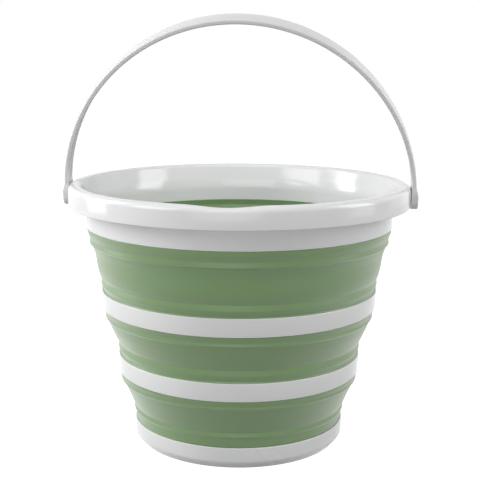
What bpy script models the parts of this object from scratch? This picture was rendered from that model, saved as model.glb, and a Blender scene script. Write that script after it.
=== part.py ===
"""Collapsible camp bucket.

A white rim, two white bands and a white base are joined by three soft green walls that
fold inside out, so that the bucket nests flat. A bail handle snaps into the rim.

Metres, +Z up. The origin is on the floor, under the middle of the base. The handle turns
about a line along X, and the pouring dip faces -Y.
"""

import math

import bmesh
import bpy
from mathutils import Matrix, Vector

# Heights, added up from the floor
BASE_HEIGHT = 0.0199
LOWER_FOLD_HEIGHT = 0.0473
LOWER_BAND_HEIGHT = 0.0158
MIDDLE_FOLD_HEIGHT = 0.0451
UPPER_BAND_HEIGHT = 0.0160
UPPER_FOLD_HEIGHT = 0.0599
SKIRT_HEIGHT = 0.0195
FLANGE_HEIGHT = 0.0195

# Radii, stepping inwards from the flange at the mouth
FLANGE_RADIUS = 0.1575
FLANGE_OVERHANG = 0.0157
SKIRT_TAPER = 0.0002
UPPER_FOLD_STEP = 0.0128
UPPER_BAND_TAPER = 0.0012
MIDDLE_FOLD_STEP = 0.0138
LOWER_BAND_TAPER = 0.0006
LOWER_FOLD_STEP = 0.0146
BASE_TAPER = 0.0002

# Walls, and the half lap where a soft wall is moulded onto a ring
RING_WALL = 0.0030
SOFT_WALL = 0.0016
LAP_HEIGHT = 0.0025
LAP_SKIN = 0.0013
EDGE_BEAD = 0.0030
EDGE_BREAK = 0.0006
GAP = 0.0003

# Rim: the flange is an upside-down channel with a rounded crown
FLANGE_WALL = 0.0024
CROWN_OUTER_ROUND = 0.0065
CROWN_INNER_ROUND = 0.0045
SPOUT_DEPTH = 0.0020
WEB_THICKNESS = 0.0014
WEB_SET_UP = 0.0040

# Base
BASE_ROUND = 0.0060
FLOOR_THICKNESS = 0.0026
FOOT_HEIGHT = 0.0020
FOOT_WIDTH = 0.0045
FOOT_DRAFT = 0.0008
FLOOR_FILLET = 0.0040
BASE_RIB_THICKNESS = 0.0012
BASE_RIB_HEIGHT = 0.0013
BASE_HUB_RADIUS = 0.0200

# Bail handle, long enough to fold down round the flange
PIVOT_RISE = 0.0062
BAIL_REACH = 0.0125
BAIL_LEAN = math.radians(16)
TAB_CLEARANCE = 0.0006
TAB_THICKNESS = 0.0063
TAB_RADIUS = 0.0100
TAB_LENGTH = 0.0120
STRAP_SET_BACK = 0.0009
STRAP_THICKNESS = 0.0050
STRAP_END_WIDTH = 0.0165
STRAP_GRIP_WIDTH = 0.0220
STRAP_CROWN = 0.0008
STRAP_CORNER = 0.0012
CHANNEL_DEPTH = 0.0024
CHANNEL_WALL = 0.0026
CHANNEL_DRAFT = 0.0004
CROSS_RIB_THICKNESS = 0.0016
PEG_RADIUS = 0.0040
PEG_PLAY = 0.0003
PEG_BARB = 0.0012
PEG_HEAD_LENGTH = 0.0030
PEG_HEAD_GAP = 0.0004

# Outer face of each soft wall: how far down its height and how far in over its step
UPPER_FOLD_SHARES = (
    (0.087, 0.094), (0.124, 0.235), (0.231, 0.296), (0.409, 0.585), (0.593, 0.711),
    (0.765, 0.938), (0.811, 1.000), (0.928, 1.004), (0.965, 1.063),
)
MIDDLE_FOLD_SHARES = (
    (0.038, 0.130), (0.182, 0.217), (0.220, 0.290),
    (0.690, 0.899), (0.743, 0.949), (0.889, 0.957), (0.933, 1.065),
)
LOWER_FOLD_SHARES = (
    (0.034, 0.158), (0.152, 0.212), (0.190, 0.281),
    (0.640, 0.890), (0.790, 0.897), (0.870, 0.959), (0.956, 1.062),
)

# How round the shapes are
FULL_TURN = math.tau
QUARTER_TURN = math.pi / 2
FRONT = -QUARTER_TURN
SMOOTH_ANGLE = math.radians(32)
SPOUT_SPAN = math.radians(30)
SPOUT_STEPS = 6
BODY_STEPS = 44
CROWN_STEPS = 3
BASE_STEPS = 2
STRAP_STEPS = 44
ROUND_STEPS = 20
CROSS_RIB_COUNT = 11
WEB_COUNT = 12
BASE_RIB_COUNT = 12
RIBBED_SHARE = 0.62
WELD = 0.00001
OVERRUN = 0.0020

# Radii and places that follow from those above
SKIRT_TOP_RADIUS = FLANGE_RADIUS - FLANGE_OVERHANG
SKIRT_RADIUS = SKIRT_TOP_RADIUS - SKIRT_TAPER
UPPER_BAND_RADIUS = SKIRT_RADIUS - UPPER_FOLD_STEP
UPPER_BAND_FOOT_RADIUS = UPPER_BAND_RADIUS - UPPER_BAND_TAPER
LOWER_BAND_RADIUS = UPPER_BAND_FOOT_RADIUS - MIDDLE_FOLD_STEP
LOWER_BAND_FOOT_RADIUS = LOWER_BAND_RADIUS - LOWER_BAND_TAPER
BASE_RADIUS = LOWER_BAND_FOOT_RADIUS - LOWER_FOLD_STEP
BASE_LOW_RADIUS = BASE_RADIUS - BASE_TAPER

CROWN_RADIUS = FLANGE_RADIUS - CROWN_OUTER_ROUND
MOUTH_RADIUS = CROWN_RADIUS - CROWN_INNER_ROUND
TAB_INNER_FACE = FLANGE_RADIUS + TAB_CLEARANCE
TAB_OUTER_FACE = TAB_INNER_FACE + TAB_THICKNESS
BAIL_RISE = FLANGE_RADIUS + BAIL_REACH
BORE_RADIUS = PEG_RADIUS + PEG_PLAY


def clear_scene():
    for old in list(bpy.data.objects):
        bpy.data.objects.remove(old, do_unlink=True)


def plastic(name, colour, roughness):
    finish = bpy.data.materials.new(name)
    finish.use_nodes = True
    shader = finish.node_tree.nodes["Principled BSDF"]
    shader.inputs["Base Color"].default_value = (*colour, 1.0)
    shader.inputs["Roughness"].default_value = roughness
    shader.inputs["Metallic"].default_value = 0.0
    finish.diffuse_color = (*colour, 1.0)
    return finish


def add_object(name, mesh_maker, finish, parent=None, location=(0, 0, 0)):
    data = bpy.data.meshes.new(name)
    mesh_maker.normal_update()
    bmesh.ops.recalc_face_normals(mesh_maker, faces=mesh_maker.faces)
    mesh_maker.to_mesh(data)
    mesh_maker.free()
    data.shade_smooth()
    data.set_sharp_from_angle(angle=SMOOTH_ANGLE)
    if finish:
        data.materials.append(finish)
    made = bpy.data.objects.new(name, data)
    bpy.context.collection.objects.link(made)
    made.parent = parent
    made.location = location
    return made


def arc(centre, radius, start, end, steps):
    """Points (radius, height) round a centre, from one angle to another."""
    angles = (start + (end - start) * i / steps for i in range(steps + 1))
    return [(centre[0] + radius * math.cos(a), centre[1] + radius * math.sin(a)) for a in angles]


def turned_mesh(outline, closed=True):
    """Spins an outline of (radius, height) points all round, with finer steps across the front."""
    mesh = bmesh.new()
    start = FRONT - SPOUT_SPAN / 2
    points = [mesh.verts.new((r * math.cos(start), r * math.sin(start), z)) for r, z in outline]
    pairs = list(zip(points, points[1:]))
    if closed:
        pairs.append((points[-1], points[0]))
    swept = points + [mesh.edges.new(pair) for pair in pairs]
    for span, steps in ((SPOUT_SPAN, SPOUT_STEPS), (FULL_TURN - SPOUT_SPAN, BODY_STEPS)):
        turn = bmesh.ops.spin(mesh, geom=swept, cent=(0, 0, 0), axis=(0, 0, 1), angle=span, steps=steps)
        swept = turn["geom_last"]
    bmesh.ops.remove_doubles(mesh, verts=mesh.verts, dist=WELD)
    return mesh


def ring_foot(radius):
    """Lower edge of a ring, from inside to outside, rebated for the soft wall below it."""
    return [
        (radius - RING_WALL, LAP_HEIGHT),
        (radius - LAP_SKIN, LAP_HEIGHT),
        (radius - LAP_SKIN, 0),
        (radius - EDGE_BREAK, 0),
        (radius, EDGE_BREAK),
    ]


def ring_head(radius, height):
    """Upper edge of a ring, from outside to inside, rebated for the soft wall above it."""
    return [(r, height - z) for r, z in reversed(ring_foot(radius))]


def band(name, height, head_radius, foot_radius, finish, parent, location):
    outline = ring_foot(foot_radius) + ring_head(head_radius, height)
    return add_object(name, turned_mesh(outline), finish, parent, location)


def soft_wall(name, height, head_radius, step, shares, finish, parent, location):
    """A thin wall from the ring above to the ring below, lapped into both, with folding lines."""
    foot_radius = head_radius - step
    outer = [(head_radius - step * inward, height * (1 - down)) for down, inward in shares]
    inner = [(r - SOFT_WALL, z) for r, z in outer[1:-1]]
    tongue = LAP_SKIN + GAP
    rise = LAP_HEIGHT - GAP
    outline = [
        (head_radius - RING_WALL, height + rise),
        (head_radius - tongue, height + rise),
        (head_radius - tongue, height - GAP),
        (head_radius - EDGE_BREAK, height - GAP),
    ]
    outline += outer
    outline += [
        (foot_radius - EDGE_BREAK, GAP),
        (foot_radius - tongue, GAP),
        (foot_radius - tongue, -rise),
        (foot_radius - RING_WALL, -rise),
        (foot_radius - RING_WALL, EDGE_BEAD),
    ]
    outline += list(reversed(inner))
    outline.append((head_radius - RING_WALL, height - EDGE_BEAD))
    return add_object(name, turned_mesh(outline), finish, parent, location)


def rim_outline():
    """The skirt, the inner wall that leans out to the crown, and the hollow of the flange."""
    top = SKIRT_HEIGHT + FLANGE_HEIGHT
    outer_centre = (CROWN_RADIUS, top - CROWN_OUTER_ROUND)
    inner_centre = (CROWN_RADIUS, top - CROWN_INNER_ROUND)
    hollow_round = CROWN_OUTER_ROUND - FLANGE_WALL
    crown_out = arc(outer_centre, CROWN_OUTER_ROUND, 0, QUARTER_TURN, CROWN_STEPS)
    crown_in = arc(inner_centre, CROWN_INNER_ROUND, QUARTER_TURN, math.pi, CROWN_STEPS)
    hollow = arc(outer_centre, hollow_round, QUARTER_TURN, 0, CROWN_STEPS - 1)
    outline = ring_foot(SKIRT_RADIUS)
    outline += [
        (SKIRT_TOP_RADIUS, SKIRT_HEIGHT),
        (MOUTH_RADIUS + FLANGE_WALL, top - CROWN_OUTER_ROUND),
    ]
    outline += hollow
    outline += [
        (FLANGE_RADIUS - FLANGE_WALL, SKIRT_HEIGHT),
        (FLANGE_RADIUS, SKIRT_HEIGHT),
    ]
    outline += crown_out
    outline += crown_in[1:]
    outline.append((SKIRT_TOP_RADIUS - RING_WALL, SKIRT_HEIGHT))
    return outline


def dip_spout(mesh):
    """Lowers the crown across the front, most in the middle, to make the pouring dip."""
    root = SKIRT_HEIGHT + FLANGE_HEIGHT - CROWN_OUTER_ROUND
    half = SPOUT_SPAN / 2
    for point in mesh.verts:
        away = abs(math.atan2(point.co.y, point.co.x) - FRONT)
        if away < half and point.co.z > root:
            lift = (point.co.z - root) / CROWN_OUTER_ROUND
            point.co.z -= SPOUT_DEPTH * lift * math.cos(away / half * QUARTER_TURN) ** 2


def webs(parent):
    """Thin upright webs inside the flange, from its outer wall to the wall of the mouth."""
    root = SKIRT_HEIGHT + FLANGE_HEIGHT - CROWN_OUTER_ROUND
    outline = [
        (MOUTH_RADIUS + FLANGE_WALL / 2, root),
        (SKIRT_TOP_RADIUS, SKIRT_HEIGHT + WEB_SET_UP),
        (FLANGE_RADIUS - FLANGE_WALL / 2, SKIRT_HEIGHT + WEB_SET_UP),
    ]
    outline += arc((CROWN_RADIUS, root), CROWN_OUTER_ROUND - FLANGE_WALL / 2, 0, QUARTER_TURN, CROWN_STEPS - 1)
    mesh = bmesh.new()
    for i in range(WEB_COUNT):
        face = mesh.faces.new([mesh.verts.new((r, -WEB_THICKNESS / 2, z)) for r, z in outline])
        pushed = bmesh.ops.extrude_face_region(mesh, geom=[face])
        far = [point for point in pushed["geom"] if isinstance(point, bmesh.types.BMVert)]
        bmesh.ops.translate(mesh, verts=far, vec=(0, WEB_THICKNESS, 0))
        turn = Matrix.Rotation(FULL_TURN * (i + 1 / 2) / WEB_COUNT, 3, "Z")
        bmesh.ops.rotate(mesh, verts=far + list(face.verts), cent=(0, 0, 0), matrix=turn)
    dip_spout(mesh)
    return guide(add_object("webs", mesh, None, parent))


def guide(made):
    """A solid used only to cut or to join, left out of the finished part."""
    made.hide_render = True
    made.display_type = "WIRE"
    return made


def round_bar(name, radius, start, end, parent, location):
    """A short solid bar along X."""
    mesh = bmesh.new()
    bmesh.ops.create_cone(
        mesh, cap_ends=True, segments=ROUND_STEPS, radius1=radius, radius2=radius, depth=abs(end - start)
    )
    for point in mesh.verts:
        x, y, z = point.co
        point.co = Vector((z + (start + end) / 2, x, y))
    return guide(add_object(name, mesh, None, parent, location))


def combine(body, other, operation):
    change = body.modifiers.new(other.name, "BOOLEAN")
    change.operation = operation
    change.solver = "EXACT"
    change.object = other


def rim(finish, parent, location):
    mesh = turned_mesh(rim_outline())
    dip_spout(mesh)
    made = add_object("rim_ring", mesh, finish, parent, location)
    combine(made, webs(made), "UNION")
    pivot = (0, 0, SKIRT_HEIGHT + PIVOT_RISE)
    for side, label in ((1, "right"), (-1, "left")):
        inside = side * (FLANGE_RADIUS - FLANGE_WALL - OVERRUN)
        outside = side * (FLANGE_RADIUS + OVERRUN)
        combine(made, round_bar("bore_" + label, BORE_RADIUS, inside, outside, made, pivot), "DIFFERENCE")
    return made


def base_ribs(reach, parent):
    """Low ribs under the floor, from round its plain middle out into the foot."""
    mesh = bmesh.new()
    depth = BASE_RIB_HEIGHT + FLOOR_THICKNESS / 2
    centre = Vector(((BASE_HUB_RADIUS + reach) / 2, 0, FOOT_HEIGHT - BASE_RIB_HEIGHT + depth / 2))
    for i in range(BASE_RIB_COUNT):
        made = bmesh.ops.create_cube(mesh, size=1)
        turn = Matrix.Rotation(FULL_TURN * (i + 1 / 2) / BASE_RIB_COUNT, 3, "Z")
        for point in made["verts"]:
            x, y, z = point.co
            place = Vector((x * (reach - BASE_HUB_RADIUS), y * BASE_RIB_THICKNESS, z * depth))
            point.co = turn @ (centre + place)
    return guide(add_object("base_ribs", mesh, None, parent))


def base(finish):
    foot_radius = BASE_LOW_RADIUS - BASE_ROUND
    foot_inner = foot_radius - FOOT_WIDTH
    floor_top = FOOT_HEIGHT + FLOOR_THICKNESS
    inner_radius = BASE_LOW_RADIUS - RING_WALL
    lower_round = arc((foot_radius, BASE_ROUND), BASE_ROUND, 0, -QUARTER_TURN, BASE_STEPS)
    outline = [(0, floor_top), (inner_radius - FLOOR_FILLET, floor_top), (inner_radius, floor_top + FLOOR_FILLET)]
    outline += list(reversed(ring_head(BASE_RADIUS, BASE_HEIGHT)))
    outline += lower_round
    outline += [(foot_inner, 0), (foot_inner - FOOT_DRAFT, FOOT_HEIGHT), (0, FOOT_HEIGHT)]
    made = add_object("base_cup", turned_mesh(outline, closed=False), finish)
    combine(made, base_ribs(foot_radius - FOOT_WIDTH / 2, made), "UNION")
    return made


def strap_place(turn):
    """Centre of the strap's outer face and its outward direction, at a share of the half turn."""
    across = TAB_OUTER_FACE - STRAP_SET_BACK
    angle = math.pi * (turn - 1 / 2)
    place = Vector((across * math.sin(angle), 0, BAIL_RISE * math.cos(angle)))
    outward = Vector((BAIL_RISE * math.sin(angle), 0, across * math.cos(angle))).normalized()
    return place, outward, math.cos(angle)


def strap_section(width):
    """Half of the strap's section, as (across, in from the outer face): crowned outside, cored inside."""
    half = width / 2
    side = half - CHANNEL_WALL
    return [
        (half - STRAP_CORNER, STRAP_CROWN),
        (half, STRAP_CROWN + STRAP_CORNER),
        (half, STRAP_THICKNESS - STRAP_CORNER / 2),
        (half - STRAP_CORNER / 2, STRAP_THICKNESS),
        (side, STRAP_THICKNESS),
        (side - CHANNEL_DRAFT, STRAP_THICKNESS - CHANNEL_DEPTH),
    ]


def strap_mesh():
    mesh = bmesh.new()
    rings = []
    for step in range(STRAP_STEPS + 1):
        place, outward, high = strap_place(step / STRAP_STEPS)
        width = STRAP_END_WIDTH + (STRAP_GRIP_WIDTH - STRAP_END_WIDTH) * high
        half = strap_section(width)
        section = [(0, 0)] + half + [(-across, inward) for across, inward in reversed(half)]
        rings.append([
            mesh.verts.new(place - outward * inward + Vector((0, across, 0))) for across, inward in section
        ])
    for one, two in zip(rings, rings[1:]):
        for i, point in enumerate(one):
            mesh.faces.new((one[i - 1], point, two[i], two[i - 1]))
    mesh.faces.new(rings[0])
    mesh.faces.new(rings[-1])
    return mesh


def tab(name, side, parent):
    """Pad at the strap's end that turns against the flange: a round foot under a short shank."""
    mesh = bmesh.new()
    half_turn = arc((0, 0), TAB_RADIUS, 0, -math.pi, ROUND_STEPS // 2)
    outline = [(TAB_RADIUS, TAB_LENGTH)] + half_turn + [(-TAB_RADIUS, TAB_LENGTH)]
    face = mesh.faces.new([mesh.verts.new((side * TAB_INNER_FACE, y, z)) for y, z in outline])
    pushed = bmesh.ops.extrude_face_region(mesh, geom=[face])
    for point in pushed["geom"]:
        if isinstance(point, bmesh.types.BMVert):
            point.co.x += side * TAB_THICKNESS
    return guide(add_object(name, mesh, None, parent))


def cross_rib(name, turn, parent):
    """A web across the channel in the inner face of the strap."""
    place, outward, high = strap_place(turn)
    along = outward.cross(Vector((0, 1, 0)))
    width = STRAP_END_WIDTH + (STRAP_GRIP_WIDTH - STRAP_END_WIDTH) * high
    half = width / 2 - CHANNEL_WALL / 2
    top = STRAP_THICKNESS - CHANNEL_DEPTH - CHANNEL_WALL / 2
    mesh = bmesh.new()
    bmesh.ops.create_cube(mesh, size=1)
    depth = STRAP_THICKNESS - CHANNEL_DRAFT - top
    centre = place - outward * (top + depth / 2)
    for point in mesh.verts:
        x, y, z = point.co
        point.co = centre + along * x * CROSS_RIB_THICKNESS + outward * z * depth + Vector((0, y * 2 * half, 0))
    return guide(add_object(name, mesh, None, parent))


def bail(finish, parent):
    made = add_object("bail_handle", strap_mesh(), finish, parent, (0, 0, SKIRT_HEIGHT + PIVOT_RISE))
    made.rotation_euler = (BAIL_LEAN, 0, 0)
    for i in range(CROSS_RIB_COUNT):
        turn = 1 / 2 + RIBBED_SHARE * (i / (CROSS_RIB_COUNT - 1) - 1 / 2)
        combine(made, cross_rib("cross_rib_%02d" % i, turn, made), "UNION")
    head_face = FLANGE_RADIUS - FLANGE_WALL - PEG_HEAD_GAP
    for side, label in ((1, "right"), (-1, "left")):
        shank = (side * (TAB_INNER_FACE + OVERRUN), side * (head_face - PEG_HEAD_LENGTH / 2))
        head = (side * head_face, side * (head_face - PEG_HEAD_LENGTH))
        combine(made, tab("tab_" + label, side, made), "UNION")
        combine(made, round_bar("peg_" + label, PEG_RADIUS, *shank, made, (0, 0, 0)), "UNION")
        combine(made, round_bar("peg_head_" + label, PEG_RADIUS + PEG_BARB, *head, made, (0, 0, 0)), "UNION")
    return made


def build():
    clear_scene()
    rim_white = plastic("rim_white", (0.79, 0.79, 0.80), 0.28)
    band_white = plastic("band_white", (0.78, 0.78, 0.79), 0.32)
    base_white = plastic("base_white", (0.77, 0.77, 0.78), 0.34)
    handle_white = plastic("handle_white", (0.80, 0.80, 0.80), 0.30)
    sage_green = plastic("sage_green", (0.23, 0.34, 0.17), 0.48)

    cup = base(base_white)
    soft_wall(
        "lower_bellows", LOWER_FOLD_HEIGHT, LOWER_BAND_FOOT_RADIUS, LOWER_FOLD_STEP,
        LOWER_FOLD_SHARES, sage_green, cup, (0, 0, BASE_HEIGHT),
    )
    low = band(
        "lower_band", LOWER_BAND_HEIGHT, LOWER_BAND_RADIUS, LOWER_BAND_FOOT_RADIUS,
        band_white, cup, (0, 0, BASE_HEIGHT + LOWER_FOLD_HEIGHT),
    )
    soft_wall(
        "middle_bellows", MIDDLE_FOLD_HEIGHT, UPPER_BAND_FOOT_RADIUS, MIDDLE_FOLD_STEP,
        MIDDLE_FOLD_SHARES, sage_green, low, (0, 0, LOWER_BAND_HEIGHT),
    )
    high = band(
        "upper_band", UPPER_BAND_HEIGHT, UPPER_BAND_RADIUS, UPPER_BAND_FOOT_RADIUS,
        band_white, low, (0, 0, LOWER_BAND_HEIGHT + MIDDLE_FOLD_HEIGHT),
    )
    soft_wall(
        "upper_bellows", UPPER_FOLD_HEIGHT, SKIRT_RADIUS, UPPER_FOLD_STEP,
        UPPER_FOLD_SHARES, sage_green, high, (0, 0, UPPER_BAND_HEIGHT),
    )
    ring = rim(rim_white, high, (0, 0, UPPER_BAND_HEIGHT + UPPER_FOLD_HEIGHT))
    bail(handle_white, ring)


build()
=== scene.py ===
import math

import bmesh
import bpy
from mathutils import Euler, Matrix, Vector


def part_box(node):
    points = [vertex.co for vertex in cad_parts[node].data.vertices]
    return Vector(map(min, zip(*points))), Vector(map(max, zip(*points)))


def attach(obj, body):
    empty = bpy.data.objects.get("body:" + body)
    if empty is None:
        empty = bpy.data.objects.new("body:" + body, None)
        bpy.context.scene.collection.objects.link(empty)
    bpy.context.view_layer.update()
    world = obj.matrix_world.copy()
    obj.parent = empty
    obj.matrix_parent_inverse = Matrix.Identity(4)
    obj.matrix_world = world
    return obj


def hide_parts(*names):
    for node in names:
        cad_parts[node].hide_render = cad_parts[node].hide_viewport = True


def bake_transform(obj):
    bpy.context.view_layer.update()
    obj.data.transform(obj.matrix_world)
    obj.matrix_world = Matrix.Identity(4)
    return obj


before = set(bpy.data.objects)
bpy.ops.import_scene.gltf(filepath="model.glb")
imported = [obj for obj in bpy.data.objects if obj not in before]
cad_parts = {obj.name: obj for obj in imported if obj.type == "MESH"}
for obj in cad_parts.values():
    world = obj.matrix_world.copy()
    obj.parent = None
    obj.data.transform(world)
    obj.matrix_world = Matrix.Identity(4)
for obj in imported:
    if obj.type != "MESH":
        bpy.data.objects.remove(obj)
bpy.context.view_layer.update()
scene = bpy.context.scene
scene.view_settings.view_transform = "Standard"


# Camera
# The camera stands about a metre off, a little to the right of the pouring dip and just
# below the top of the handle, and looks slightly down into the mouth.
CAMERA_DISTANCE = 1.000
CAMERA_HEIGHT = 0.3714
CAMERA_TURN = math.radians(4.0)
CAMERA_PITCH = math.radians(10.4)
CAMERA_ROLL = math.radians(0.25)
CAMERA_SIDE_STEP = 0.0007
LENS_MM = 81.3
SENSOR_MM = 36.0

camera_data = bpy.data.cameras.new("camera")
camera_data.lens = LENS_MM
camera_data.sensor_width = SENSOR_MM
camera_data.dof.use_dof = False
camera = bpy.data.objects.new("camera", camera_data)
scene.collection.objects.link(camera)
camera.location = (
    CAMERA_DISTANCE * math.sin(CAMERA_TURN) + CAMERA_SIDE_STEP * math.cos(CAMERA_TURN),
    -CAMERA_DISTANCE * math.cos(CAMERA_TURN) + CAMERA_SIDE_STEP * math.sin(CAMERA_TURN),
    CAMERA_HEIGHT,
)
level_view = Euler((math.pi / 2 - CAMERA_PITCH, 0, CAMERA_TURN)).to_matrix()
camera.rotation_euler = (level_view @ Matrix.Rotation(CAMERA_ROLL, 3, "Z")).to_euler()
scene.camera = camera


# Floor, background and lamps
# A pale studio, so white where it is seen or mirrored that the shadow hardly shows. Soft
# boxes stand upright at both sides and behind, with smaller ones above the side ones. Others
# light the bucket from the camera's side and from overhead.
FLOOR_SIZE = 8.0
FLOOR_DROP = 0.0002
FLOOR_SEEN_COLOUR = (0.35, 0.35, 0.35, 1.0)
FLOOR_SEEN_GLOW = 1.0
FLOOR_BOUNCE_COLOUR = (0.22, 0.22, 0.22, 1.0)
AMBIENT = 0.05
LAMP_AIM = Vector((0, 0, 0.16))


def mixed_by_view(tree, unseen, seen):
    """Mixes two shaders: the second shows to the camera, in reflections and through glass."""
    path = tree.nodes.new("ShaderNodeLightPath")
    glossy = tree.nodes.new("ShaderNodeMath")
    glossy.operation = "ADD"
    tree.links.new(path.outputs["Is Camera Ray"], glossy.inputs[0])
    tree.links.new(path.outputs["Is Glossy Ray"], glossy.inputs[1])
    through = tree.nodes.new("ShaderNodeMath")
    through.operation = "ADD"
    through.use_clamp = True
    tree.links.new(glossy.outputs[0], through.inputs[0])
    tree.links.new(path.outputs["Is Transmission Ray"], through.inputs[1])
    mix = tree.nodes.new("ShaderNodeMixShader")
    tree.links.new(through.outputs[0], mix.inputs["Fac"])
    tree.links.new(unseen, mix.inputs[1])
    tree.links.new(seen, mix.inputs[2])
    return mix.outputs[0]


def floor_paper():
    paper = bpy.data.materials.new("floor_paper")
    paper.use_nodes = True
    tree = paper.node_tree
    tree.nodes.clear()
    seen = tree.nodes.new("ShaderNodeBsdfDiffuse")
    seen.inputs["Color"].default_value = FLOOR_SEEN_COLOUR
    glow = tree.nodes.new("ShaderNodeEmission")
    glow.inputs["Strength"].default_value = FLOOR_SEEN_GLOW
    both = tree.nodes.new("ShaderNodeAddShader")
    tree.links.new(seen.outputs[0], both.inputs[0])
    tree.links.new(glow.outputs[0], both.inputs[1])
    bounce = tree.nodes.new("ShaderNodeBsdfDiffuse")
    bounce.inputs["Color"].default_value = FLOOR_BOUNCE_COLOUR
    output = tree.nodes.new("ShaderNodeOutputMaterial")
    tree.links.new(mixed_by_view(tree, bounce.outputs[0], both.outputs[0]), output.inputs["Surface"])
    return paper


floor_mesh = bpy.data.meshes.new("floor")
half_floor = FLOOR_SIZE / 2
floor_mesh.from_pydata(
    [(x * half_floor, y * half_floor, -FLOOR_DROP) for x, y in ((-1, -1), (1, -1), (1, 1), (-1, 1))],
    [], [(0, 1, 2, 3)],
)
floor_mesh.materials.append(floor_paper())
floor = bpy.data.objects.new("floor", floor_mesh)
scene.collection.objects.link(floor)

world = bpy.data.worlds.new("studio")
world.use_nodes = True
world_tree = world.node_tree
world_tree.nodes.clear()
ambient = world_tree.nodes.new("ShaderNodeBackground")
ambient.inputs["Strength"].default_value = AMBIENT
backdrop = world_tree.nodes.new("ShaderNodeBackground")
backdrop.inputs["Color"].default_value = (1, 1, 1, 1)
world_output = world_tree.nodes.new("ShaderNodeOutputWorld")
world_tree.links.new(
    mixed_by_view(world_tree, ambient.outputs[0], backdrop.outputs[0]), world_output.inputs["Surface"]
)
scene.world = world


def soft_box(name, turn, rise, distance, width, height, watts, shadow=True):
    """A lamp that faces the bucket. turn is degrees to the camera's left, rise degrees above level."""
    lamp_data = bpy.data.lights.new(name, "AREA")
    lamp_data.use_shadow = shadow
    lamp_data.shape = "RECTANGLE"
    lamp_data.size = width
    lamp_data.size_y = height
    lamp_data.energy = watts
    lamp = bpy.data.objects.new(name, lamp_data)
    scene.collection.objects.link(lamp)
    round_from_front = CAMERA_TURN - math.radians(turn)
    away = Vector((
        math.sin(round_from_front) * math.cos(math.radians(rise)),
        -math.cos(round_from_front) * math.cos(math.radians(rise)),
        math.sin(math.radians(rise)),
    ))
    lamp.location = LAMP_AIM + away * distance
    lamp.rotation_euler = (-away).to_track_quat("-Z", "Y").to_euler()
    lamp.visible_camera = False


soft_box("top_box", 0, 80, 1.5, 1.2, 1.2, 4.0)
soft_box("key_box", 5, 50, 1.6, 0.9, 0.25, 1.7)
soft_box("front_box", 8, 14, 1.8, 1.4, 1.2, 9.8, shadow=False)
soft_box("left_front_box", 58, 30, 1.6, 0.8, 0.8, 8.2)
soft_box("left_box", 101, 6, 1.5, 0.50, 1.3, 9.0)
soft_box("left_upper_box", 101, 28, 1.5, 0.50, 1.0, 7.0)
soft_box("left_back_box", 142, 10, 1.6, 1.2, 1.4, 1.0)
soft_box("right_box", -82, 6, 1.5, 0.60, 1.3, 4.2)
soft_box("right_upper_box", -82, 28, 1.5, 0.60, 1.0, 8.1)
soft_box("right_back_box", -128, 12, 1.6, 1.0, 1.4, 2.0)


# Base cup
# The white bottom of the bucket, moulded in stiff polypropylene with a ring-shaped foot. The
# lowest soft wall is moulded onto its rebated upper edge, and short ribs stiffen its underside.
FACETS = 240
RING_WALL = 0.0030
SOFT_WALL = 0.0016
LAP_HEIGHT = 0.0025
LAP_SKIN = 0.0013
GAP = 0.0003
RING_EDGE_ROUND = 0.0005
BAND_RISE = 0.0005
FLOOR_THICKNESS = 0.0026
FOOT_HEIGHT = 0.0020
FOOT_WIDTH = 0.0045
BASE_ROUND = 0.0060
FLOOR_FILLET = 0.0040
ARC_STEP = math.radians(15)
SUPPORT = 0.0003
SHARP_ANGLE = math.radians(35)
BASE_RIB_COUNT = 12
BASE_RIB_THICKNESS = 0.0012
BASE_RIB_HEIGHT = 0.0013
BASE_RIB_START = 0.020
BASE_RIB_SINK = 0.0003
BASE_RIB_SET_IN = 0.0004
GATE_RADIUS = 0.0030
GATE_DEPTH = 0.0004
GATE_MIDDLE_ROUND = 0.0002
GATE_EDGE_ROUND = 0.0003
FOOT_SLOPE = 0.0008
FOOT_ROOT_ROUND = 0.0006
FOOT_INNER_ROUND = 0.0005
FOOT_SET_OUT = 0.0004
FOOT_OUTER_ROUND = 0.0012
BASE_LEAN = 0.0003
BASE_CORNER_RISE = 0.0002
BASE_CORNER_SHARE = 0.8
CORNER_REACH_SHARE = 0.48
LEAST_TURN = math.radians(1)
MERGE_DISTANCE = 0.00001
POLYPROPYLENE_IOR = 1.49
SMUDGE_SIZE = 0.035
DUST_SHARE = 0.10
DUST_COLOUR = (0.62, 0.60, 0.57, 1)


def rounded(corners, closed=True):
    """An outline with its corners rounded. Each corner is (radius, height, round)."""
    points = []
    count = len(corners)
    for i, (r, z, size) in enumerate(corners):
        here = Vector((r, z))
        if size == 0 or (not closed and i in (0, count - 1)):
            points.append(here)
            continue
        back = Vector(corners[i - 1][:2]) - here
        ahead = Vector(corners[(i + 1) % count][:2]) - here
        reach = CORNER_REACH_SHARE * min(back.length, ahead.length)
        back.normalize()
        ahead.normalize()
        turn = math.pi - back.angle(ahead)
        if turn < LEAST_TURN:
            points.append(here)
            continue
        tangent = min(size * math.tan(turn / 2), reach)
        radius = tangent / math.tan(turn / 2)
        centre = here + (back + ahead).normalized() * radius / math.cos(turn / 2)
        start = here + back * tangent
        sweep = math.copysign(turn, (start - centre).cross(here + ahead * tangent - centre))
        steps = max(2, math.ceil(turn / ARC_STEP))
        if reach > tangent + 2 * SUPPORT:
            points.append(start + back * SUPPORT)
        first = math.atan2(start.y - centre.y, start.x - centre.x)
        for step in range(steps + 1):
            angle = first + sweep * step / steps
            points.append(centre + Vector((math.cos(angle), math.sin(angle))) * radius)
        if reach > tangent + 2 * SUPPORT:
            points.append(here + ahead * (tangent + SUPPORT))
    return [(point.x, point.y) for point in points]


def node_at(tree, kind, **settings):
    node = tree.nodes.new(kind)
    for setting, value in settings.items():
        setattr(node, setting, value)
    return node


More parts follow.
